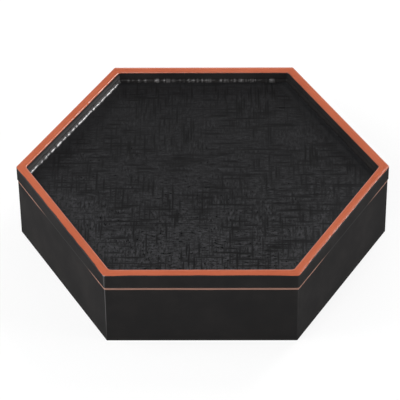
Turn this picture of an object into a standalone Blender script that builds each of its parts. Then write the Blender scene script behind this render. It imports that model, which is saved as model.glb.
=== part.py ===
"""Hexagonal shokado bento box: a black lacquered wooden box and its lift-off lid.

Run with: blender --background --python part.py

Units are metres and +Z is up. The origin is the middle of the underside, the front side faces -Y,
and two of the six corners lie on the X axis. An inset is a distance inwards from the lid's outer
sides, which are the widest outline of the box.
"""

import math

import bmesh
import bpy
from mathutils import Matrix, Vector

# The hexagon. Its corners keep a little of their round where a level face meets them.
SIDES = 6
ACROSS_CORNERS = 0.303
CORNER_EASE = 0.0005
INNER_CORNER_RADIUS = 0.003

# The box: six mitred side boards round a bottom panel
BODY_HEIGHT = 0.0566
BOARD_THICKNESS = 0.007
MOUTH_OUTER_ROUND = 0.0012
MOUTH_INNER_ROUND = 0.0006
FOOT_ROUND = 0.0005
BOTTOM_THICKNESS = 0.004
BOTTOM_LIFT = 0.003

# The lid: six mitred rails round a recessed panel
LID_OVERHANG = 0.0008
RAIL_WIDTH = 0.0072
RIM_ROUND = 0.001
RAIL_FOOT_ROUND = 0.0005
RECESS_DEPTH = 0.0093
LID_PANEL_THICKNESS = 0.004
LID_PANEL_LIFT = 0.0003

# Strips under the lid panel, which drop inside the box and keep the lid in place
STRIP_THICKNESS = 0.004
STRIP_DROP = 0.005
STRIP_ROUND = 0.001
LID_PLAY = 0.0005

# Tongue round the middle of both panels' edges, held in a groove in the boards or rails
TONGUE_THICKNESS = 0.002
TONGUE_DEPTH = 0.003

# Loose splines hidden in the mitres of the box
SPLINE_THICKNESS = 0.0016
SPLINE_WIDTH = 0.006
SPLINE_END_MARGIN = 0.008

# Vermilion paint on the rim and the mouth, which reaches a little way down their sides
RIM_PAINT_DEPTH = 0.001
MOUTH_PAINT_DEPTH = 0.0015

# Gaps that glue and lacquer fill, and the one that the lid rests over
GLUE_LINE = 0.0003
SEAT_GAP = 0.0003

# Facets of each quarter round along an edge, and of each corner of a hexagon
EDGE_SEGMENTS = 3
CORNER_SEGMENTS = 6

# Sizes that follow from the ones above
CORNER_TURN = math.tau / SIDES
APOTHEM = ACROSS_CORNERS / 2 * math.cos(CORNER_TURN / 2)
BODY_OUTER = LID_OVERHANG
BODY_INNER = BODY_OUTER + BOARD_THICKNESS
STRIP_OUTER = BODY_INNER + LID_PLAY
STRIP_INNER = STRIP_OUTER + STRIP_THICKNESS
STRIP_TOP = LID_PANEL_LIFT - GLUE_LINE
BOTTOM_TOP = BOTTOM_LIFT + BOTTOM_THICKNESS
LID_PANEL_TOP = LID_PANEL_LIFT + LID_PANEL_THICKNESS
LID_HEIGHT = LID_PANEL_TOP + RECESS_DEPTH
LID_SEAT = BODY_HEIGHT + SEAT_GAP

# Names of the sides and of the corners, both counted the same way round from the front
SIDE_NAMES = ("front", "front_right", "back_right", "back", "back_left", "front_left")
CORNER_NAMES = ("front_right", "right", "back_right", "back_left", "left", "front_left")

SMOOTH_ANGLE = math.radians(40)

BLACK_LACQUER = (0.011, 0.011, 0.012, 1.0)
BLACK_CLOTH_LACQUER = (0.016, 0.017, 0.018, 1.0)
VERMILION_LACQUER = (0.52, 0.13, 0.065, 1.0)
BARE_WOOD = (0.48, 0.33, 0.19, 1.0)

# Roughness of each surface
POLISHED = 0.22
PAINTED = 0.3
CLOTH_GRAINED = 0.4
SAWN = 0.6


def clear_scene():
    for obj in list(bpy.data.objects):
        bpy.data.objects.remove(obj, do_unlink=True)


def new_collection(name):
    collection = bpy.data.collections.new(name)
    bpy.context.scene.collection.children.link(collection)
    return collection


def finish(name, colour, roughness):
    """A material of one colour. Nothing on the box is metal."""
    material = bpy.data.materials.new(name)
    material.use_nodes = True
    shader = material.node_tree.nodes["Principled BSDF"]
    shader.inputs["Base Color"].default_value = colour
    shader.inputs["Roughness"].default_value = roughness
    shader.inputs["Metallic"].default_value = 0.0
    material.diffuse_color = colour
    return material


def corner_distance(inset):
    """From the axis to a corner of the hexagon at this inset."""
    return (APOTHEM - inset) / math.cos(CORNER_TURN / 2)


def rounded_hexagon(inset, height, corner_radius):
    """Points round a level hexagon at this inset, with each corner an arc of this radius."""
    centre = Vector((corner_distance(inset + corner_radius), 0, height))
    points = []
    for corner in range(SIDES):
        to_corner = Matrix.Rotation(corner * CORNER_TURN, 3, "Z")
        for step in range(CORNER_SEGMENTS + 1):
            angle = (step / CORNER_SEGMENTS - 0.5) * CORNER_TURN
            arm = Vector((math.cos(angle), math.sin(angle), 0)) * corner_radius
            points.append(to_corner @ (centre + arm))
    return points


def loft(sections, closed):
    """A skin over hexagons of (inset, height, corner radius): a closed ring, or a capped plate."""
    bm = bmesh.new()
    loops = [[bm.verts.new(point) for point in rounded_hexagon(*section)] for section in sections]
    pairs = list(zip(loops, loops[1:]))
    if closed:
        pairs.append((loops[-1], loops[0]))
    else:
        bm.faces.new(loops[0])
        bm.faces.new(loops[-1])
    for one, other in pairs:
        for i in range(len(one)):
            bm.faces.new((one[i - 1], one[i], other[i], other[i - 1]))
    bmesh.ops.recalc_face_normals(bm, faces=bm.faces[:])
    return bm


def rounded_arris(inset, height, radius, inward, up):
    """Quarter round of (inset, height) points, from a frame's upright side to its level face.

    Inward is 1 on the outer side and -1 on the inner, and up is 1 at the top and -1 at the foot.
    """
    points = []
    for step in range(EDGE_SEGMENTS + 1):
        angle = step / EDGE_SEGMENTS * math.pi / 2
        across = inward * radius * (1 - math.cos(angle))
        down = up * radius * (1 - math.sin(angle))
        points.append((inset + across, height - down))
    return points


def outer_sections(points, outer, corner_radius):
    """Hexagons whose corners all share a centre, with this radius on the outer side."""
    return [(inset, height, corner_radius + outer - inset) for inset, height in points]


def inner_sections(points, inner):
    """Hexagons whose corners all share a centre, with the inner corner radius on the inner side."""
    return [(inset, height, INNER_CORNER_RADIUS + inner - inset) for inset, height in points]


def groove_points(inner, panel_low, panel_high):
    """The groove in a frame's inner side, from the top down, for a panel between these heights."""
    middle = (panel_low + panel_high) / 2
    half_groove = TONGUE_THICKNESS / 2 + GLUE_LINE
    floor = inner - TONGUE_DEPTH - GLUE_LINE
    return [
        (inner, middle + half_groove),
        (floor, middle + half_groove),
        (floor, middle - half_groove),
        (inner, middle - half_groove),
    ]


def part_at_mitres(bm):
    """Keeps the front length of a ring, with half a glue line taken off each mitred end."""
    for turn in (CORNER_TURN / 2, math.pi - CORNER_TURN / 2):
        away = Matrix.Rotation(turn, 3, "Z").col[0]
        bmesh.ops.bisect_plane(
            bm,
            geom=bm.verts[:] + bm.edges[:] + bm.faces[:],
            plane_co=away * -GLUE_LINE / 2,
            plane_no=away,
            clear_outer=True,
        )
    cut_ends = [edge for edge in bm.edges if edge.is_boundary]
    bmesh.ops.holes_fill(bm, edges=cut_ends)
    bmesh.ops.recalc_face_normals(bm, faces=bm.faces[:])


def mesh_from(bm, name, materials, painted_above=math.inf):
    """A smooth-shaded mesh. Its second material goes on the faces that lie above a height."""
    mesh = bpy.data.meshes.new(name)
    bm.to_mesh(mesh)
    bm.free()
    for material in materials:
        mesh.materials.append(material)
    for face in mesh.polygons:
        face.material_index = int(face.center.z > painted_above)
    mesh.shade_smooth()
    mesh.set_sharp_from_angle(angle=SMOOTH_ANGLE)
    return mesh


def new_part(name, mesh, collection, parent=None, turn=0.0):
    part = bpy.data.objects.new(name, mesh)
    collection.objects.link(part)
    part.parent = parent
    part.rotation_euler.z = turn
    return part


def place_round(stem, names, mesh, collection, parent):
    """One object for each side or corner, sharing a mesh that was made for the first of them."""
    return [
        new_part(f"{stem}_{name}", mesh, collection, parent, step * CORNER_TURN)
        for step, name in enumerate(names)
    ]


def framed_ring(outer, inner, height, outer_round, inner_round, foot_round, panel_low, panel_high):
    """A ring with rounded edges and a panel groove, from which boards or rails are parted."""
    foot = rounded_arris(outer, 0, foot_round, 1, -1)
    outer_edge = rounded_arris(outer, height, outer_round, 1, 1)
    inner_edge = rounded_arris(inner, height, inner_round, -1, 1)
    inner_side = inner_edge[::-1] + groove_points(inner, panel_low, panel_high) + [(inner, 0)]
    corner_radius = max(outer_round, foot_round) + CORNER_EASE
    sections = outer_sections(foot[::-1] + outer_edge, outer, corner_radius)
    return loft(sections + inner_sections(inner_side, inner), closed=True)


def make_panel(name, frame_inner, low, high, material, collection, parent):
    """A panel whose tongue lies in the groove of the frame round it."""
    field = frame_inner + GLUE_LINE
    tongue = frame_inner - TONGUE_DEPTH
    middle = (low + high) / 2
    tongue_high = middle + TONGUE_THICKNESS / 2
    tongue_low = middle - TONGUE_THICKNESS / 2
    points = [
        (field, high),
        (field, tongue_high),
        (tongue, tongue_high),
        (tongue, tongue_low),
        (field, tongue_low),
        (field, low),
    ]
    bm = loft(inner_sections(points, frame_inner), closed=False)
    return new_part(name, mesh_from(bm, name, [material]), collection, parent)


def make_side_boards(lacquer, paint, slots, collection, parent):
    bm = framed_ring(
        outer=BODY_OUTER,
        inner=BODY_INNER,
        height=BODY_HEIGHT,
        outer_round=MOUTH_OUTER_ROUND,
        inner_round=MOUTH_INNER_ROUND,
        foot_round=FOOT_ROUND,
        panel_low=BOTTOM_LIFT,
        panel_high=BOTTOM_TOP,
    )
    part_at_mitres(bm)
    mesh = mesh_from(bm, "side_board", [lacquer, paint], BODY_HEIGHT - MOUTH_PAINT_DEPTH)
    boards = place_round("side_board", SIDE_NAMES, mesh, collection, parent)
    for number, board in enumerate(boards):
        for slot in (slots[number - 1], slots[number]):
            cut = board.modifiers.new("spline slot", "BOOLEAN")
            cut.operation = "DIFFERENCE"
            cut.solver = "EXACT"
            cut.object = slot


def spline_mesh(name, clearance, materials):
    """A block across the front right mitre, midway between the boards' inner and outer faces.

    The boards lean back from the corner, so the block's middle is moved in by half of what they
    have leant back at its ends.
    """
    length = BODY_HEIGHT - BOTTOM_TOP - 2 * SPLINE_END_MARGIN
    lean = SPLINE_WIDTH / 2 * math.tan(CORNER_TURN / 2)
    distance = corner_distance(BODY_OUTER + BOARD_THICKNESS / 2) - lean / 2
    middle_height = (BODY_HEIGHT + BOTTOM_TOP) / 2
    size = [side + 2 * clearance for side in (SPLINE_THICKNESS, SPLINE_WIDTH, length)]
    place = Matrix.Rotation(-CORNER_TURN, 4, "Z") @ Matrix.Translation((distance, 0, middle_height))
    bm = bmesh.new()
    bmesh.ops.create_cube(bm, size=1, matrix=place @ Matrix.Diagonal(size).to_4x4())
    return mesh_from(bm, name, materials)


def make_splines(wood, collection, parent):
    mesh = spline_mesh("corner_spline", 0, [wood])
    place_round("corner_spline", CORNER_NAMES, mesh, collection, parent)


def make_spline_slots(collection):
    """Cutters for the slots that the splines are glued into."""
    mesh = spline_mesh("spline_slot", GLUE_LINE, [])
    slots = place_round("spline_slot", CORNER_NAMES, mesh, collection, None)
    for slot in slots:
        slot.hide_render = True
        slot.display_type = "WIRE"
    return slots


def make_rails(lacquer, paint, collection, parent):
    bm = framed_ring(
        outer=0,
        inner=RAIL_WIDTH,
        height=LID_HEIGHT,
        outer_round=RIM_ROUND,
        inner_round=RIM_ROUND,
        foot_round=RAIL_FOOT_ROUND,
        panel_low=LID_PANEL_LIFT,
        panel_high=LID_PANEL_TOP,
    )
    part_at_mitres(bm)
    mesh = mesh_from(bm, "lid_rail", [lacquer, paint], LID_HEIGHT - RIM_PAINT_DEPTH)
    place_round("lid_rail", SIDE_NAMES, mesh, collection, parent)


def make_locating_strips(lacquer, collection, parent):
    """Strips with a rounded lower edge, which leads them into the mouth of the box."""
    foot = STRIP_TOP - STRIP_DROP
    outer_points = rounded_arris(STRIP_OUTER, foot, STRIP_ROUND, 1, -1)[::-1] + [(STRIP_OUTER, STRIP_TOP)]
    inner_points = [(STRIP_INNER, STRIP_TOP), (STRIP_INNER, foot)]
    outer_side = outer_sections(outer_points, STRIP_OUTER, STRIP_ROUND + CORNER_EASE)
    bm = loft(outer_side + inner_sections(inner_points, STRIP_INNER), closed=True)
    part_at_mitres(bm)
    mesh = mesh_from(bm, "locating_strip", [lacquer])
    place_round("locating_strip", SIDE_NAMES, mesh, collection, parent)


def main():
    clear_scene()
    box = new_collection("hexagonal_shokado_bento_box")
    cutters = new_collection("cutters")

    vermilion = finish("vermilion_lacquer", VERMILION_LACQUER, PAINTED)
    board_lacquer = finish("side_board_lacquer", BLACK_LACQUER, POLISHED)
    bottom_lacquer = finish("bottom_panel_lacquer", BLACK_LACQUER, PAINTED)
    spline_wood = finish("corner_spline_wood", BARE_WOOD, SAWN)
    rail_lacquer = finish("lid_rail_lacquer", BLACK_LACQUER, POLISHED)
    cloth_lacquer = finish("lid_panel_cloth_lacquer", BLACK_CLOTH_LACQUER, CLOTH_GRAINED)
    strip_lacquer = finish("locating_strip_lacquer", BLACK_LACQUER, PAINTED)

    body = new_part("body", None, box)
    make_side_boards(board_lacquer, vermilion, make_spline_slots(cutters), box, body)
    make_panel("bottom_panel", BODY_INNER, BOTTOM_LIFT, BOTTOM_TOP, bottom_lacquer, box, body)
    make_splines(spline_wood, box, body)

    lid = new_part("lid", None, box)
    lid.location.z = LID_SEAT
    make_rails(rail_lacquer, vermilion, box, lid)
    make_panel("lid_panel", RAIL_WIDTH, LID_PANEL_LIFT, LID_PANEL_TOP, cloth_lacquer, box, lid)
    make_locating_strips(strip_lacquer, box, lid)


main()
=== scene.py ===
import math

import bpy
import numpy as np
from mathutils import Matrix, Vector


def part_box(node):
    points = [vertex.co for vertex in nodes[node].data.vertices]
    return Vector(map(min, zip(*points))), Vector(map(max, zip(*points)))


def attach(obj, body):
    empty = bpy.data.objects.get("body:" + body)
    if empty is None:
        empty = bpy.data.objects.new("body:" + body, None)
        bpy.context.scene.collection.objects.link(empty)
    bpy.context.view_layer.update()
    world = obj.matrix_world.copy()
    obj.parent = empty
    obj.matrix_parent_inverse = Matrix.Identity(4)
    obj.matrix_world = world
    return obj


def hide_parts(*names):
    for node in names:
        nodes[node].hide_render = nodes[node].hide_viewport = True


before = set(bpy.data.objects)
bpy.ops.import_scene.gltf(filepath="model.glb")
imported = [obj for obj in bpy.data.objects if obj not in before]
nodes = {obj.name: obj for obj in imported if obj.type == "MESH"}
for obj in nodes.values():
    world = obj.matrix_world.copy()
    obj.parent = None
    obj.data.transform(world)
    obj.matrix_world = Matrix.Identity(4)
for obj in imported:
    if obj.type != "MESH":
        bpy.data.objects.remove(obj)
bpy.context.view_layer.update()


# The view
# The box is seen from in front and above through a long lens. It stands turned by a degree, and the
# camera leans by less than one. The figures come from the edges that the photograph shows.
view_height = math.radians(40.73)
view_turn = math.radians(0.94)
view_lean = math.radians(0.70)
view_distance = 2.139
view_middle = Vector((-0.0024, 0.0260, 0))
lens_mm = 232.4

camera_turn = (
    Matrix.Rotation(view_turn, 4, "Z")
    @ Matrix.Rotation(math.pi / 2 - view_height, 4, "X")
)
camera = bpy.data.objects.new("camera", bpy.data.cameras.new("camera"))
camera.data.lens = lens_mm
camera.data.clip_end = 20
camera.matrix_world = (
    camera_turn
    @ Matrix.Translation(view_middle + Vector((0, 0, view_distance)))
    @ Matrix.Rotation(-view_lean, 4, "Z")
)
bpy.context.scene.collection.objects.link(camera)
bpy.context.scene.camera = camera


# Side boards of the box
# Six boards of 7 mm wood, mitred at the corners and lacquered black all over, with a fillet of
# lacquer where the bottom panel meets them. The rounded mouth is painted vermilion. Its outer edge
# is painted dark grey in the middle of the slanted boards, a painted shade, and paler and pinker
# below the mouth's top, a painted highlight.
sides = ("front", "front_right", "back_right", "back", "back_left", "front_left")
side_turn = math.tau / len(sides)
half_turn = side_turn / 2

lid_reach = -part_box("lid_rail_front")[0].y
body_outer = lid_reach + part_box("side_board_front")[0].y
body_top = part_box("side_board_front")[1].z
bottom_low, bottom_top = (corner.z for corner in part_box("bottom_panel"))

board_thickness = 0.007
body_inner = body_outer + board_thickness
body_corner_radius = 0.0008
inner_corner_radius = 0.003
mouth_outer_round = 0.0012
mouth_inner_round = 0.0006
foot_round = 0.0005
lacquer_fillet = 0.0025
fillet_sunk = 0.00003
tongue_thickness = 0.002
tongue_depth = 0.003
glue_line = 0.0003
arris_steps = 8
corner_steps = 8
polish_width = 0.0004
mouth_polish = 0.3

# How far from each corner arc a side has points
board_stations = (0.0005, 0.002, 0.012, 0.020, 0.028, 0.036, 0.044, 0.052, 0.060)

# From where to where along a side, seen from outside with 0 at its middle, the mouth's red is painted dark
# grey as painted shade
faded_stretch = {"front_left": (-0.026, 0.046), "front_right": (-0.028, 0.042)}
plain_faded_stretch = (-0.035, 0.035)
faded_end = 0.016
unfaded_sides = ("front", "back")
polish_lost_to_fading = 0.9
# Below this depth under the mouth's top, the red is painted paler and pinker as a highlight
dulled_below = 0.0005

# Gloss on the corners, most at the mouth, which also paints their colour paler as a highlight, and
# how much of it a side's left and right corner have, seen from outside
corner_wear_depth = 0.030
corner_wear_at_foot = 0.1
corner_wear_at_depth = 0.8
least_corner_rub = 0.1
corner_rub = {"front": (1.0, 0.15), "front_left": (0.5, 1.0), "front_right": (0.15, 0.5)}
plain_corner_rub = (0.5, 0.5)


def quarter_round(inset, height, radius, inward, upward, polish=1.0):
    """Rows of (inset, height, polish) round an edge, from its upright side to its level one.

    With t from 0 to a quarter turn, the inset goes in by radius times 1 - cos t, and the height
    stays short of the edge's level by radius times 1 - sin t. Hands and cloths have polished the
    round, so that it shines, and the polish also paints its colour paler, a painted highlight. One
    more row on the upright side ends the polish.
    """
    t = np.linspace(0, math.pi / 2, arris_steps + 1)
    bend = np.column_stack((
        inset + inward * radius * (1 - np.cos(t)),
        height - upward * radius * (1 - np.sin(t)),
        np.full(len(t), polish),
    ))
    dull = (inset, height - upward * (radius + polish_width), 0)
    return np.vstack((dull, bend))


def set_corners(rows, centre_inset, corner_polish):
    """Gives the rows one centre for their corner arcs, so that all nest, and a polish there."""
    return np.column_stack((
        rows, np.full(len(rows), centre_inset), corner_polish + np.zeros(len(rows))
    ))


def inner_side(inner, top, top_round, panel_low, panel_top, fillet, wall_polish=0.0):
    """Rows down a frame's inner side: arris, wall, fillet on the panel, groove for its tongue."""
    middle = (panel_low + panel_top) / 2
    half_groove = tongue_thickness / 2 + glue_line
    floor = inner - tongue_depth - glue_line
    cove = quarter_round(inner, panel_top - fillet_sunk, fillet, 1, -1)
    groove = [
        (inner, panel_top - fillet_sunk, 0),
        (inner, middle + half_groove, 0),
        (floor, middle + half_groove, 0),
        (floor, middle - half_groove, 0),
        (inner, middle - half_groove, 0),
    ]
    arris = quarter_round(inner, top, top_round, -1, 1)[::-1]
    arris[-1, 2] = cove[0, 2] = wall_polish
    return np.vstack((arris, cove, groove))


def carried_round_side(rows, side, stations):
    """Carries a profile's rows along one side, mitre to mitre.

    A row holds its inset from the lid's outer side, its height, its polish, the inset of its corner's
    centre and its corner polish. At each end it turns on an arc about that centre, from square to the
    side to the mitre's plane, which is half of the corner's turn. Stations are distances along the
    straight from where the arc ends. Returns the points as rows by stations, how far each lies along
    the side and round the profile, and its polish, which rises on the arcs to the corner's at the
    mitre, as the square of the angle turned.
    """
    inset, height, polish, centre_inset, corner_polish = (column[:, None] for column in rows.T)
    radius = centre_inset - inset
    out = (lid_reach - centre_inset) / math.cos(half_turn)
    sweep = np.linspace(half_turn, 0, corner_steps + 1)
    run = np.asarray(stations)
    swing = np.concatenate((sweep, 0 * run))
    back = np.concatenate((0 * sweep, run))
    turned = least_corner_rub + (1 - least_corner_rub) * (sweep / half_turn) ** 2
    rub = np.concatenate((turned, 0 * run))
    swing, back, rub = (np.concatenate((half, half[::-1])) for half in (swing, back, rub))
    hand = np.where(np.arange(len(swing)) < len(swing) // 2, -1, 1)
    x = hand * (out * math.sin(half_turn) - back + radius * np.sin(swing))
    y = -out * math.cos(half_turn) - radius * np.cos(swing)
    z = height + 0 * x
    turn = side * side_turn
    points = np.stack((
        x * math.cos(turn) - y * math.sin(turn),
        x * math.sin(turn) + y * math.cos(turn),
        z,
    ), axis=-1)
    steps = np.hypot(np.diff(inset[:, 0]), np.diff(height[:, 0]))
    around = np.concatenate(([0], np.cumsum(steps)))[:, None]
    grain = np.stack((x, around + 0 * x, 0 * x), axis=-1)
    return points, grain, np.maximum(polish + 0 * x, corner_polish * rub)


def rub_corners(polish, rows, side):
    """Multiplies the first rows' polish, on the arcs at a side's two ends, by each corner's share of gloss
    and painted highlight.
    """
    left, right = corner_rub.get(side, plain_corner_rub)
    polish[:rows, :corner_steps] *= left
    polish[:rows, -corner_steps:] *= right


def closed_ring(rows, columns):
    """Faces of a grid whose rows close on themselves, with one face over each end of the columns."""
    row = np.arange(rows)[:, None]
    column = np.arange(columns - 1)[None, :]
    below = (row + 1) % rows
    quads = np.stack((
        row * columns + column,
        row * columns + column + 1,
        below * columns + column + 1,
        below * columns + column,
    ), axis=-1).reshape(-1, 4).tolist()
    first = (np.arange(rows) * columns).tolist()
    last = (np.arange(rows)[::-1] * columns + columns - 1).tolist()
    return quads + [first, last]


def new_piece(name, points, faces, material, smooth_angle=math.radians(35), **attributes):
    """A mesh object at the origin, with a value or a vector for each point under each name given."""
    mesh = bpy.data.meshes.new(name)
    mesh.from_pydata(points.reshape(-1, 3), [], faces)
    for label, values in attributes.items():
        if values.size == len(mesh.vertices):
            mesh.attributes.new(label, "FLOAT", "POINT").data.foreach_set("value", values.ravel())
        else:
            mesh.attributes.new(label, "FLOAT_VECTOR", "POINT").data.foreach_set("vector", values.ravel())
    mesh.materials.append(material)
    mesh.shade_smooth()
    mesh.set_sharp_from_angle(angle=smooth_angle)
    mesh.validate()
    piece = bpy.data.objects.new(name, mesh)
    bpy.context.scene.collection.objects.link(piece)
    return piece


class Socket:
    """One output in a material. Arithmetic with it adds Math nodes that work the value out."""

    def __init__(self, tree, output):
        self.tree = tree
        self.output = output

    def node(self, kind, settings, inputs, output=0):
        """Adds a node: its own settings first, then the values or links of its sockets."""
        node = self.tree.nodes.new(kind)
        for name, value in settings.items():
            setattr(node, name, value)
        for name, value in inputs.items():
            if isinstance(value, Socket):
                self.tree.links.new(value.output, node.inputs[name])
            else:
                node.inputs[name].default_value = value
        return Socket(self.tree, node.outputs[output])

    def math(self, operation, *values):
        """Adds a Math node that works this out of the values."""
        return self.node("ShaderNodeMath", {"operation": operation}, dict(enumerate(values)))

    def __add__(self, other):
        return self.math("ADD", self, other)

    def __sub__(self, other):
        return self.math("SUBTRACT", self, other)

    def __mul__(self, other):
        return self.math("MULTIPLY", self, other)

    __radd__ = __add__
    __rmul__ = __mul__

    def __rsub__(self, other):
        return self.math("SUBTRACT", other, self)

    def scaled(self, x, y, z):
        """This place with each direction stretched by its own factor."""
        return self.node("ShaderNodeVectorMath", {"operation": "MULTIPLY"}, {0: self, 1: (x, y, z)})

    def noise(self, per_metre, detail=2.0, roughness=0.5):
        """Even random cloud at this place, from 0 to 1, with this many blotches in a metre."""
        return self.node("ShaderNodeTexNoise", {}, {
            "Vector": self, "Scale": per_metre, "Detail": detail, "Roughness": roughness,
        })

    def ramp(self, low, high):
        """0 at low or less, 1 at high or more, and a smooth step between."""
        return self.node("ShaderNodeMapRange", {"interpolation_type": "SMOOTHSTEP"}, {
            "Value": self, "From Min": low, "From Max": high,
        })

    def mix(self, colour_at_0, colour_at_1):
        """A colour between two, by this value."""
        return self.node("ShaderNodeMix", {"data_type": "RGBA"}, {
            "Factor": self, 6: colour_at_0, 7: colour_at_1,
        }, output=2)


def new_finish(name, **constants):
    """A material, its shader with these constant sockets set, and its Object coordinates."""
    material = bpy.data.materials.new(name)
    material.use_nodes = True
    tree = material.node_tree
    shader = tree.nodes["Principled BSDF"]
    for socket, value in constants.items():
        shader.inputs[socket.replace("_", " ")].default_value = value
    place = Socket(tree, tree.nodes.new("ShaderNodeTexCoord").outputs["Object"])
    return material, shader, place


def feed(shader, **sockets):
    """Links a value that changes over the surface to each socket named, with _ for its spaces."""
    for name, source in sockets.items():
        source.tree.links.new(source.output, shader.inputs[name.replace("_", " ")])


def relief(height, metres, **inputs):
    """The surface's normal, tilted as if the height from 0 to 1 stood up by this many metres."""
    return height.node("ShaderNodeBump", {}, {"Height": height, "Distance": metres, **inputs})


def carried(shader, name, output="Fac"):
    """What the mesh carries under a name: its value or, as Vector, its vector."""
    tree = shader.id_data
    node = tree.nodes.new("ShaderNodeAttribute")
    node.attribute_name = name
    return Socket(tree, node.outputs[output])


black = (0.0150, 0.0145, 0.0145, 1)
black_thin = (0.0195, 0.0182, 0.0178, 1)
black_rubbed = (0.090, 0.087, 0.087, 1)
vermilion = (0.48, 0.127, 0.065, 1)
vermilion_deep = (0.41, 0.098, 0.048, 1)
vermilion_rubbed = (0.31, 0.165, 0.123, 1)
paint_worn_off = (0.029, 0.028, 0.028, 1)
worn_depth = 0.0012
paint_wander = 0.0004
paint_blur = 0.00012
brush_marks = (20, 1400, 1)
orange_peel = 0.000012
slow_swell = 0.0006


def board_lacquer(name, paint_top, paint_depth):
    """Brushed black lacquer that turns vermilion within a depth of the height given.

    The paint's edge wanders by a tenth of a millimetre and lies higher where the mesh is worn. On the
    seam band below the mouth's top the red is painted paler and pinker, a painted highlight, and in the
    seam's shaded stretches it is painted a dark grey, a painted shade a little paler than the black.
    Brush marks follow the board's length, the colour thins a little in clouds, and the surface keeps a
    faint orange peel and a slow swell. It is satin on its flats, and shines on its edges, where the
    polish also paints the black paler as a highlight.
    """
    material, shader, place = new_finish(
        name, IOR=1.5, Specular_IOR_Level=0.0, Coat_IOR=1.8, Coat_Roughness=0.15
    )
    height = place.node("ShaderNodeSeparateXYZ", {}, {0: place}, output=2)
    wander = (place.noise(90, 3) - 0.5) * paint_wander
    worn = carried(shader, "worn")
    paint_edge = paint_top - paint_depth
    painted = (height + wander - worn * worn_depth).ramp(paint_edge - paint_blur, paint_edge + paint_blur)
    polish = carried(shader, "polish")
    grain = carried(shader, "grain", "Vector")
    brushed = grain.scaled(*brush_marks).noise(1, 3, 0.6)
    cloud = place.noise(35, 4, 0.6)
    # Where polished, the black is painted paler: a painted highlight on edges, corners, fillets and walls
    rubbed = (polish * (0.35 + cloud)).ramp(0.0, 0.9)
    dark = rubbed.mix(cloud.ramp(0.35, 0.75).mix(black, black_thin), black_rubbed)
    red = (brushed * 0.5 + cloud * 0.5).ramp(0.3, 0.7).mix(vermilion_deep, vermilion)
    # On the seam band the red is painted paler and pinker: a painted highlight
    red = carried(shader, "dulled").mix(red, vermilion_rubbed)
    # In the seam's shaded stretches the red is painted dark grey: painted shade
    red = carried(shader, "faded").mix(red, paint_worn_off)
    swell = relief(place.noise(18, 1), slow_swell)
    peel = relief(place.noise(700, 2) * 0.4 + brushed * 0.6, orange_peel, Normal=swell)
    feed(
        shader,
        Base_Color=painted.mix(dark, red),
        Roughness=0.34 + cloud * 0.10 - polish * 0.10,
        Coat_Weight=0.034 + cloud * 0.036 + polish * 0.9,
        Normal=peel,
    )
    return material


mouth_paint_depth = 0.0020
side_board_lacquer = board_lacquer("side_board_lacquer", body_top, mouth_paint_depth)

outer_rows = np.vstack((
    quarter_round(body_outer, 0, foot_round, 1, -1, 0)[::-1],
    (body_outer, body_top - corner_wear_depth, 0),
    quarter_round(body_outer, body_top, mouth_outer_round, 1, 1, mouth_polish),
))
# Gloss and a painted highlight on the corner arcs, falling from the mouth to the foot
corner_wear = np.interp(
    outer_rows[:, 1],
    (0, body_top - corner_wear_depth, body_top),
    (corner_wear_at_foot, corner_wear_at_depth, 1),
)
outer_rows = set_corners(outer_rows, body_outer + body_corner_radius, corner_wear)
inner_rows = set_corners(
    np.vstack((
        inner_side(body_inner, body_top, mouth_inner_round, bottom_low, bottom_top, lacquer_fillet),
        quarter_round(body_inner, 0, foot_round, -1, -1),
    )),
    body_inner + inner_corner_radius,
    0,
)
board_rows = np.vstack((outer_rows, inner_rows))

for number, side in enumerate(sides):
    points, grain, polish = carried_round_side(board_rows, number, board_stations)
    # The seam's shaded stretch, where its red is painted dark grey as painted shade and it shines less
    faded_from, faded_to = faded_stretch.get(side, plain_faded_stretch)
    past_faded = np.maximum(grain[..., 0] - faded_to, faded_from - grain[..., 0])
    faded = np.clip(1 - past_faded / faded_end, 0, 1) * (side not in unfaded_sides)
    dulled = np.clip((body_top - points[..., 2]) / dulled_below, 0, 1)
    dulled[len(outer_rows):] = 0
    faded *= dulled
    polish *= 1 - polish_lost_to_fading * faded
    rub_corners(polish, len(outer_rows), side)
    board = new_piece(
        f"board_{side}", points, closed_ring(*points.shape[:2]), side_board_lacquer,
        grain=grain, polish=polish, dulled=dulled, faded=faded,
    )
    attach(board, "box")
    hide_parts(f"side_board_{side}")


# Bottom panel
# A 4 mm plywood board let into the grooves of the six side boards, in satin black lacquer. Use
# leaves its inside a little duller than the sides.
bottom_lacquer, shader, place = new_finish("bottom_panel_lacquer", IOR=1.5, Specular_IOR_Level=0.25)
cloud = place.noise(28, 4, 0.6)
feed(
    shader,
    Base_Color=cloud.ramp(0.3, 0.75).mix(black, black_thin),
    Roughness=0.30 + cloud * 0.12,
    Normal=relief(place.noise(600, 3), 0.000015),
)
nodes["bottom_panel"].data.materials.clear()
nodes["bottom_panel"].data.materials.append(bottom_lacquer)


# Corner splines
# Slips of bare cypress glued into slots across the mitres of the box, which keep the corners shut.
# Their grain runs up the box.
bare_wood_dark = (0.42, 0.27, 0.14, 1)
bare_wood_light = (0.56, 0.40, 0.24, 1)
bare_wood, shader, place = new_finish("corner_spline_wood", IOR=1.45)
fibre = place.scaled(1, 1, 0.05).noise(2600, 3)
pores = place.scaled(1, 1, 0.1).noise(900, 4, 0.7)
feed(
    shader,
    Base_Color=fibre.ramp(0.3, 0.7).mix(bare_wood_dark, bare_wood_light),
    Roughness=0.55 + pores * 0.25,
    Normal=relief(fibre, 0.00004),
)
for name, node in nodes.items():
    if name.startswith("corner_spline"):
        node.data.materials.clear()
        node.data.materials.append(bare_wood)


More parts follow.
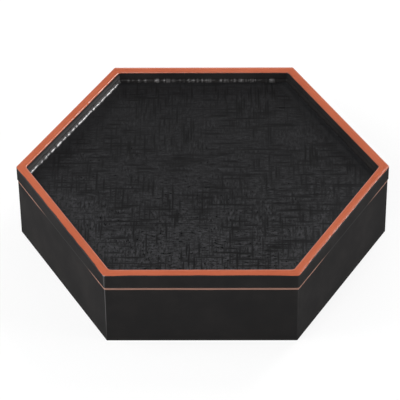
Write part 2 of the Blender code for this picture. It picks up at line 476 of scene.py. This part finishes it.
# Rails of the lid
# Six mitred rails stand up round the lid, black on their sides and vermilion on top. Lacquer fills
# the corner between their inner sides and the panel with a small fillet, which catches the light.
lid_foot, lid_top = (corner.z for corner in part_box("lid_rail_front"))
lid_panel_low, lid_panel_top = (corner.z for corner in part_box("lid_panel"))
rail_width = 0.0072
rail_corner_radius = 0.0026
rail_corner_polish = 0.5
rim_round = 0.0008
rail_foot_round = 0.0005
rim_crown = 0.00027
rim_paint_depth = 0.00064
rail_station_gap = 0.0006
rail_stations_from = 0.003
# Polish of the rails' inner walls, which also paints them a little paler as a highlight
wall_polish = 0.18
arris_polish = {"front": 0.12, "front_right": 0.25, "front_left": 0.25}
arris_worn = {"front": 0.20, "front_right": 0.25, "front_left": 0.27}
arris_worn_end = 0.01
inner_arris_worn = -0.4

# The fillet's edge ripples, and its shine varies about each side's own value, in dashes and in longer
# groups of them. Where it shines, the fillet's black is also painted paler, a painted highlight.
ripple_seed = 5
fillet_ripple = 0.0006
ripple_run = 0.0022
ripple_end = 0.004
dash_run = 0.0010
dash_swing = 0.55
group_run = 0.006
group_swing = 0.35
dash_share = {"back": 0.15, "back_left": 1.0, "back_right": -1.0}
plain_share = 0.1
least_shine = 0.05
polish_down_fillet = (0.5, 0.5, 1.0, 1.0, 1.0, 1.0, 1.0, 1.0, 0.6)

# Polish of a rail's inner wall at its top and at its foot, where they differ. It shines, and it
# paints the wall paler as a highlight, most on the back left.
rubbed_wall = {"back_left": (0.25, 1.2)}
rail_lacquer = board_lacquer("lid_rail_lacquer", lid_top, rim_paint_depth)


def crowned_top(outer_row, inner_row, crown, steps=8):
    """Rows between two arrises, risen between them by the crown times 1 - t squared, t from -1 to 1.

    The polish falls from the arrises to the middle as t squared.
    """
    t = np.linspace(-1, 1, steps + 1)[1:-1, None]
    level = outer_row * (1 - t) / 2 + inner_row * (1 + t) / 2
    level[:, 1] += crown * (1 - t[:, 0] ** 2)
    level[:, 2] *= t[:, 0] ** 2
    return level


def uneven(distance, run, rng):
    """Random values from -1 to 1, one for each run, and between two of them a cosine."""
    t = (distance - distance.min()) / run
    values = rng.random(int(t.max()) + 3) * 2 - 1
    low = np.floor(t).astype(int)
    share = (1 - np.cos((t - low) * math.pi)) / 2
    return values[low] * (1 - share) + values[low + 1] * share


rim_edge = lid_top - rim_crown
outer_rows = set_corners(
    np.vstack((
        quarter_round(0, lid_foot, rail_foot_round, 1, -1, 0)[::-1],
        quarter_round(0, rim_edge, rim_round, 1, 1),
    )),
    rail_corner_radius,
    rail_corner_polish,
)
inner_rows = set_corners(
    np.vstack((
        inner_side(
            rail_width, rim_edge, rim_round, lid_panel_low, lid_panel_top, lacquer_fillet, wall_polish
        ),
        [(rail_width, lid_foot, 0)],
    )),
    rail_width + inner_corner_radius,
    0,
)
top_rows = crowned_top(outer_rows[-1], inner_rows[0], rim_crown)
rail_rows = np.vstack((outer_rows, top_rows, inner_rows))

# The fillet's rows in the profile, and how far each moves in and up when the fillet grows by 1. The
# row above it moves with its first.
fillet_start = len(outer_rows) + len(top_rows) + arris_steps + 3
fillet_stop = fillet_start + arris_steps + 1
bend = quarter_round(0, 0, 1, 1, -1)[1:, :2]
fillet_growth = np.vstack((bend[:1], bend))
half_side = (lid_reach - rail_width - inner_corner_radius) * math.tan(half_turn)
rail_stations = np.concatenate((
    board_stations[:2], np.arange(rail_stations_from, half_side, rail_station_gap)
))
rng = np.random.default_rng(ripple_seed)

for number, side in enumerate(sides):
    points, grain, polish = carried_round_side(rail_rows, number, rail_stations)
    along = grain[0, :, 0]
    from_corner = half_side - np.abs(along)
    turn = number * side_turn
    inward = np.array((-math.sin(turn), math.cos(turn), 0))

    wave = uneven(along, ripple_run, rng) * fillet_ripple
    wave *= np.clip(from_corner / ripple_end, 0, 1)
    grown = fillet_growth[:, None, :] * wave[:, None]
    points[fillet_start - 1:fillet_stop] += grown[..., :1] * inward
    points[fillet_start - 1:fillet_stop, :, 2] += grown[..., 1]

    dashes = dash_swing * uneven(along, dash_run, rng)
    groups = group_swing * uneven(along, group_run, rng)
    shine = np.clip(dash_share.get(side, plain_share) + dashes + groups, least_shine, 1)
    polish[fillet_start:fillet_stop] *= np.array(polish_down_fillet)[:, None] * shine
    wall_rub = rubbed_wall.get(side, (wall_polish, wall_polish))
    polish[fillet_start - 2:fillet_start] *= np.array(wall_rub)[:, None] / wall_polish

    worn = np.full(polish.shape, inner_arris_worn)
    worn[:len(outer_rows)] = arris_worn.get(side, 0) * np.clip(from_corner / arris_worn_end, 0, 1)
    polish[:len(outer_rows), corner_steps:-corner_steps] *= arris_polish.get(side, 1)
    rub_corners(polish, len(outer_rows), side)
    rail = new_piece(
        f"rail_{side}", points, closed_ring(*points.shape[:2]), rail_lacquer,
        grain=grain, polish=polish, worn=worn,
    )
    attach(rail, "lid")
    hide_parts(f"lid_rail_{side}")


# Cloth-textured panel of the lid
# Slubby linen is bonded to the panel and lacquered, so that its threads stand up through the black,
# with dark gaps between them. Towards the back and beside the front rail the threads flatten and the
# colour darkens, a painted shade, and towards the front the colour brightens, a painted light. Beside
# the rails the surface is painted paler, a painted light. The panel's tongue lies in the rails' grooves.
panel_rows_count = 260
panel_columns_count = 352
cloth_span = 0.32
weft_pitch = 0.0025
warp_pitch = 0.0020
line_reach = 0.6
line_sway = 0.2
thread_run = 0.006
thread_evenness = 1.0
gap_run = 0.013
gap_evenness = 0.3
patch_run = 0.020
patch_gain = 2.2
patch_loss = 0.2
thread_seed = 354
cloth_relief = 0.00020
ground_level = 0.48
ridge_rise = 0.25
gap_drop = 1.2
# How the threads flatten and the colour darkens near the back and the front rail, a painted shade, and how
# the colour brightens towards the front, a painted light
pooled_back = 0.020
pooled_front = 0.005
pool_power = 1.5
pooled_share = 0.22
share_at_back = 0.12
forward_power = 1.8

# How much paler the surface is painted at most beside each rail, a painted light against the rails' shade,
# and how far in from the rail that reaches
dust_beside = {
    "front": (0.05, 0.020), "front_right": (0.22, 0.030), "back_right": (0.55, 0.012),
    "back": (0.16, 0.012), "back_left": (0.24, 0.012), "front_left": (0.35, 0.030),
}


def strands(across, along, pitch, run, rng, evenness):
    """Lines side by side, each a raised cosine across, from 0 at its reach to the line's strength.

    Line number k lies at k pitches across, and sways and reaches to either side by shares of a
    pitch. Its strength and sway are random values of its own, read along it with a cosine between
    knots one run apart. The strength is raised to a power, so that the lower the evenness, the fewer
    lines stand out. Where two lines meet, the stronger one counts. A few lines and knots to spare
    keep every number inside its table.
    """
    reach = line_reach * pitch
    count = int(cloth_span / pitch) + 6
    knots = int(cloth_span / run) + 4
    strength = rng.random((count, knots)) ** (1 / evenness)
    sway = (rng.random((count, knots)) - 0.5) * 2 * line_sway
    start = rng.random(count)
    place = (across + cloth_span / 2) / pitch + 2
    found = np.zeros_like(place)
    for neighbour in (-1, 0, 1):
        which = np.round(place).astype(int) + neighbour
        t = (along + cloth_span / 2) / run + start[which]
        low = np.floor(t).astype(int)
        share = (1 - np.cos((t - low) * math.pi)) / 2
        sway_here = sway[which, low] * (1 - share) + sway[which, low + 1] * share
        strength_here = strength[which, low] * (1 - share) + strength[which, low + 1] * share
        off = np.clip((place - which - sway_here) * pitch / reach, -1, 1)
        found = np.maximum(found, (1 + np.cos(off * math.pi)) / 2 * strength_here)
    return found


def patches(x, y, run, rng):
    """Random values from 0 to 1 at the corners of squares one run wide, with a cosine between them."""
    count = int(cloth_span / run) + 3
    values = rng.random((count, count))
    place = np.stack((x, y)) / run + count / 2
    low = np.floor(place).astype(int)
    share = (1 - np.cos((place - low) * math.pi)) / 2
    before = values[low[0], low[1]] * (1 - share[0]) + values[low[0] + 1, low[1]] * share[0]
    after = values[low[0], low[1] + 1] * (1 - share[0]) + values[low[0] + 1, low[1] + 1] * share[0]
    return before * (1 - share[1]) + after * share[1]


def half_width(depth, apothem, radius):
    """From the middle line to the side of a rounded hexagon, at each depth from its centre.

    The slanted side lies where x cos 30 + depth sin 30 is the apothem. Within an arc's reach, the
    side is the arc's centre plus the root of radius squared less the distance from it squared.
    """
    core = apothem - radius
    reach = radius * math.sin(half_turn)
    corner = core / math.cos(half_turn)
    slanted = (apothem - depth * math.sin(half_turn)) / math.cos(half_turn)
    side_arc = corner + np.sqrt(np.clip(radius**2 - depth**2, 0, None))
    past = np.clip(depth - core, 0, radius)
    end_arc = corner * math.sin(half_turn) + np.sqrt(radius**2 - past**2)
    width = np.where(depth < reach, side_arc, slanted)
    return np.where(depth > core + reach, end_arc, width)


panel_field = lid_reach - rail_width - glue_line
v = np.linspace(-1, 1, panel_rows_count)[:, None]
u = np.linspace(-1, 1, panel_columns_count)[None, :]
y = v * panel_field + 0 * u
x = u * half_width(np.abs(y), panel_field, inner_corner_radius - glue_line)

rng = np.random.default_rng(thread_seed)
weft_gap = strands(y, x, weft_pitch, gap_run, rng, gap_evenness)
warp_gap = strands(x, y, warp_pitch, gap_run, rng, gap_evenness)
gap = np.maximum(
    weft_gap * np.clip(patch_gain * patches(x, y, patch_run, rng) - patch_loss, 0, 1),
    warp_gap * np.clip(patch_gain * patches(x, y, patch_run, rng) - patch_loss, 0, 1),
)
ridge = np.maximum(
    strands(y + weft_pitch / 2, x, weft_pitch, thread_run, rng, thread_evenness),
    strands(x + warp_pitch / 2, y, warp_pitch, thread_run, rng, thread_evenness),
)
slanted_way = np.abs(x) * math.cos(half_turn)
to_back = panel_field - np.maximum(y, slanted_way + y * math.sin(half_turn))
to_front = panel_field - np.maximum(-y, slanted_way - y * math.sin(half_turn))
forward = (1 - y / panel_field) / 2
# Near the back and the front rail the threads flatten and the colour darkens, a painted shade; towards the
# front the colour brightens, a painted light
clear_of_pool = np.clip(to_back / pooled_back, 0, 1) ** pool_power * np.clip(to_front / pooled_front, 0, 1)
more_forward = share_at_back + (1 - share_at_back) * forward**forward_power
bare_cloth = pooled_share + (1 - pooled_share) * clear_of_pool * more_forward
level = np.clip(ground_level + ridge_rise * ridge - gap_drop * gap, 0, 1)
thread = level * bare_cloth
# Beside the rails the surface is painted paler: painted light against the rails' shade
dust = 0 * x
for number, side in enumerate(sides):
    most, reach = dust_beside[side]
    turn = number * side_turn
    from_side = panel_field - x * math.sin(turn) + y * math.cos(turn)
    dust = np.maximum(dust, most * np.clip(1 - from_side / reach, 0, 1))
z = lid_panel_top - cloth_relief * bare_cloth * (1 - level)
top = np.stack((x, y, z), axis=-1)

rim_index = np.concatenate((
    np.arange(panel_columns_count),
    np.arange(1, panel_rows_count) * panel_columns_count + panel_columns_count - 1,
    (panel_rows_count - 1) * panel_columns_count + np.arange(panel_columns_count - 1)[::-1],
    np.arange(1, panel_rows_count - 1)[::-1] * panel_columns_count,
))
edge = top.reshape(-1, 3)[rim_index]


def edge_loop(outset, height):
    """The panel's outline at a height, scaled so that each side moves out by the outset."""
    scale = 1 + outset / panel_field
    return np.column_stack((edge[:, :2] * scale, np.full(len(edge), height)))


panel_middle = (lid_panel_low + lid_panel_top) / 2
tongue_out = tongue_depth + glue_line
loops = [
    edge_loop(0, panel_middle + tongue_thickness / 2),
    edge_loop(tongue_out, panel_middle + tongue_thickness / 2),
    edge_loop(tongue_out, panel_middle - tongue_thickness / 2),
    edge_loop(0, panel_middle - tongue_thickness / 2),
    edge_loop(0, lid_panel_low),
]
grid_points = top.reshape(-1, 3)
row = np.arange(panel_rows_count - 1)[:, None]
column = np.arange(panel_columns_count - 1)[None, :]
first = row * panel_columns_count + column
faces = np.stack(
    (first, first + 1, first + panel_columns_count + 1, first + panel_columns_count), axis=-1
).reshape(-1, 4).tolist()
ring_of = [rim_index] + [
    len(grid_points) + number * len(edge) + np.arange(len(edge)) for number in range(len(loops))
]
for upper, lower in zip(ring_of, ring_of[1:]):
    faces += np.column_stack((upper, lower, np.roll(lower, -1), np.roll(upper, -1))).tolist()
faces.append(ring_of[-1][::-1].tolist())
panel_points = np.vstack([grid_points] + loops)
below_top = np.zeros(len(panel_points) - len(grid_points))

cloth_dark = (0.0075, 0.0075, 0.0076, 1)
cloth_light = (0.0400, 0.0402, 0.0427, 1)
weft_fineness = 560
warp_fineness = 600
grain_along = 220
stroke_along = 45
mean_pile = 1.12
cloth_lacquer, shader, place = new_finish("lid_panel_cloth_lacquer", IOR=1.5, Specular_IOR_Level=0.08)
thread_level = carried(shader, "thread")
cloud = place.noise(22, 4, 0.6)
weft_over = place.noise(60, 1).ramp(0.40, 0.60)
warp_over = 1 - weft_over
weft_fine = place.scaled(grain_along, weft_fineness, 1).noise(1, 2)
warp_fine = place.scaled(warp_fineness, grain_along, 1).noise(1, 2)
fine = (weft_fine * weft_over + warp_fine * warp_over) * 0.7 + place.noise(900, 1) * 0.3
weft_stroke = place.scaled(stroke_along, weft_fineness, 1).noise(1, 1)
warp_stroke = place.scaled(warp_fineness, stroke_along, 1).noise(1, 1)
stroke = (weft_stroke * weft_over + warp_stroke * warp_over).ramp(0.60, 0.70)
contrast = thread_level * 20 + 2
spared = 1 - stroke * (thread_level * 1.3 + 0.3)
# The pile darkens with the painted shade at the back, brightens with the painted light towards the front,
# and is painted paler beside the rails
pile = thread_level * ((fine - 0.5) * contrast + mean_pile) * spared + carried(shader, "dust")
feed(
    shader,
    Base_Color=pile.mix(cloth_dark, cloth_light),
    Roughness=0.26 + pile * 0.19 + cloud * 0.04,
    Normal=relief(fine * thread_level, 0.00004),
)
panel = new_piece(
    "cloth_panel", panel_points, faces, cloth_lacquer, smooth_angle=math.radians(60),
    thread=np.concatenate((thread.ravel(), below_top)),
    dust=np.concatenate((dust.ravel(), below_top)),
)
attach(panel, "lid")
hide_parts("lid_panel")


# Locating strips
# Six strips glued under the lid panel, lacquered with it. They drop inside the mouth of the box and
# keep the lid in place.
strip_lacquer, shader, place = new_finish("locating_strip_lacquer", IOR=1.5, Specular_IOR_Level=0.25)
cloud = place.noise(40, 4, 0.6)
feed(
    shader,
    Base_Color=cloud.ramp(0.3, 0.75).mix(black, black_thin),
    Roughness=0.28 + cloud * 0.12,
    Normal=relief(place.noise(650, 2), 0.000012),
)
for name, node in nodes.items():
    if name.startswith("locating_strip"):
        node.data.materials.clear()
        node.data.materials.append(strip_lacquer)


# Floor and studio light
# A pale floor runs out past the view. Seen or mirrored, it glows nearly white and keeps a faint shadow.
# The room is dim, and brighter round its horizon. Soft lights stand behind, at the right and in front.
# Three more, overhead, at the left and low at the right, aren't mirrored in the lacquer.
floor_reach = 6.0
floor_pale = (0.84, 0.84, 0.84, 1)
floor_paler = (0.86, 0.86, 0.86, 1)
floor_under_glow = (0.20, 0.20, 0.20, 1)
floor_glow = (1, 1, 1, 1)
no_glow = (0, 0, 0, 1)
room_low = (0.30, 0.30, 0.305, 1)
room_high = (0.12, 0.12, 0.125, 1)
light_aim = Vector((0, 0, 0.05))
floor_points = np.array([
    (-floor_reach, -floor_reach, 0), (floor_reach, -floor_reach, 0),
    (floor_reach, floor_reach, 0), (-floor_reach, floor_reach, 0),
])
floor_paint, shader, place = new_finish(
    "floor_paint", Specular_IOR_Level=0.0, Roughness=0.9, Emission_Strength=0.80
)
rays = shader.id_data.nodes.new("ShaderNodeLightPath").outputs
seen = Socket(shader.id_data, rays["Is Camera Ray"])
for kind in ("Is Glossy Ray", "Is Transmission Ray"):
    seen = seen.math("MAXIMUM", seen, Socket(shader.id_data, rays[kind]))
feed(
    shader,
    Base_Color=seen.mix(place.noise(6, 3).mix(floor_pale, floor_paler), floor_under_glow),
    Emission_Color=seen.mix(no_glow, floor_glow),
)
floor = new_piece("floor", floor_points, [(0, 1, 2, 3)], floor_paint)

world = bpy.data.worlds.new("studio")
bpy.context.scene.world = world
world.use_nodes = True
sky = world.node_tree.nodes["Background"]
direction = Socket(world.node_tree, world.node_tree.nodes.new("ShaderNodeTexCoord").outputs["Generated"])
elevation = direction.node("ShaderNodeSeparateXYZ", {}, {0: direction}, output=2)
dim = elevation.ramp(0.0, 0.5).mix(room_low, room_high)
world.node_tree.links.new(dim.output, sky.inputs["Color"])
sky.inputs["Strength"].default_value = 1.0


def soft_light(name, place, width, depth, watts, mirrored=True):
    """A rectangular light at a place, turned to the box and out of the camera's sight."""
    lamp = bpy.data.lights.new(name, "AREA")
    lamp.shape = "RECTANGLE"
    lamp.size = width
    lamp.size_y = depth
    lamp.energy = watts
    light = bpy.data.objects.new(name, lamp)
    light.visible_camera = False
    light.visible_glossy = mirrored
    bpy.context.scene.collection.objects.link(light)
    toward = light_aim - Vector(place)
    light.matrix_world = Matrix.Translation(place) @ toward.to_track_quat("-Z", "Y").to_matrix().to_4x4()


soft_light("overhead", (-0.80, -0.20, 0.80), 0.9, 0.7, 4.1, mirrored=False)
soft_light("right", (0.62, 0.73, 1.0), 0.35, 0.35, 7.6)
soft_light("low right", (1.45, -0.25, 0.5), 0.8, 0.6, 13.5, mirrored=False)
soft_light("behind", (0.3, 1.80, 0.45), 2.6, 0.85, 15.5)
soft_light("front", (-0.5, -1.15, 1.0), 1.0, 0.9, 9.0)
soft_light("left", (-1.40, -0.25, 0.6), 0.8, 0.6, 10.5, mirrored=False)

bpy.context.scene.view_settings.view_transform = "Standard"
